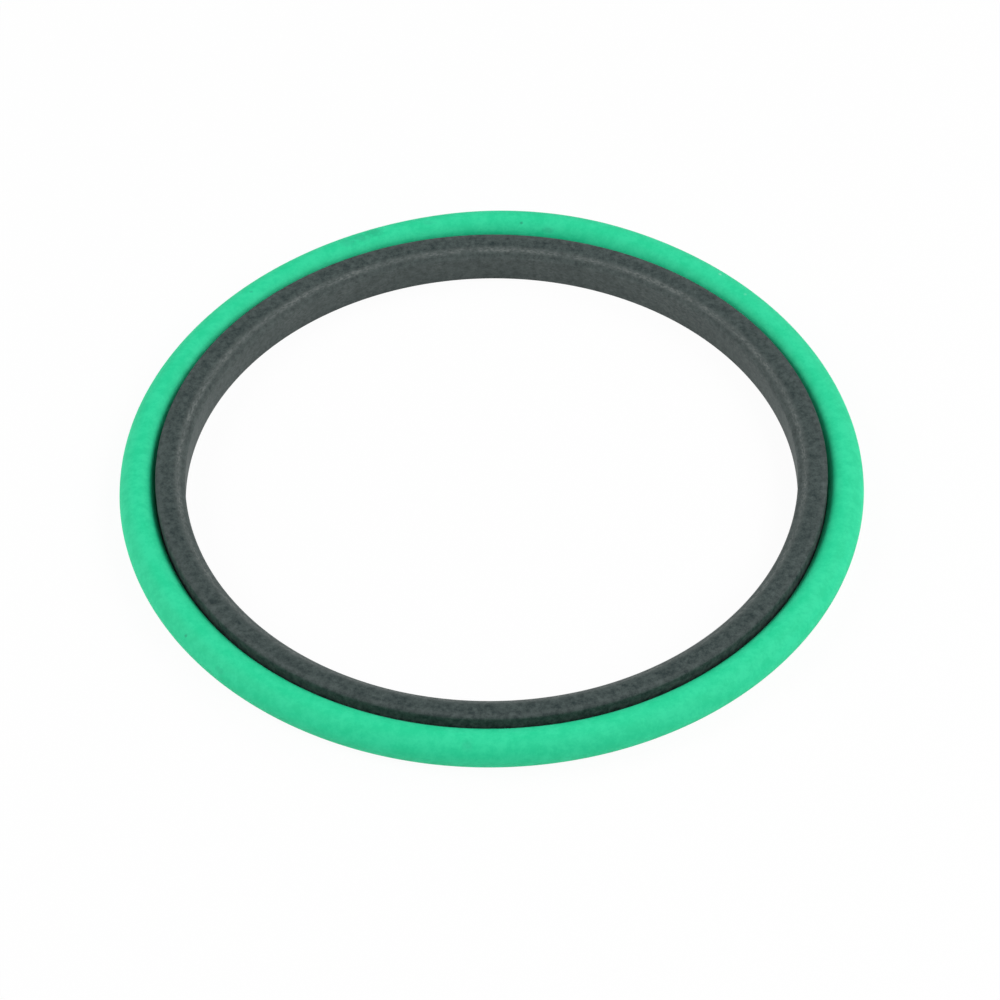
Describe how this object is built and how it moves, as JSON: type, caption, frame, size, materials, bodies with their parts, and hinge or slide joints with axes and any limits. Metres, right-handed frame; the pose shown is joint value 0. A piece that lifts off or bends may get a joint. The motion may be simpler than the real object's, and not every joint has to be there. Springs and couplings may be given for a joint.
{
  "type": "hydraulic rod seal",
  "caption": "Rod seal for a hydraulic cylinder: a grey filled-PTFE slide ring with a stepped bore, and the green rubber O-ring that lies round it.",
  "frame": {"origin": "on the slide ring's axis, in the plane of its lower face, on which the seal lies", "axes": "+Z along the rod, from the lower face to the pressure side with the wide lead-in; +Y points away from the viewer of the picture"},
  "size_m": [0.1086, 0.1104, 0.0057],
  "materials": {
    "filled_ptfe": "turned PTFE with a dark filler, matte, finely mottled",
    "green_rubber": "moulded rubber, matte with a soft sheen"
  },
  "bodies": {
    "root": {"slide_ring": "filled_ptfe", "o_ring": "green_rubber"}
  },
  "joints": []
}
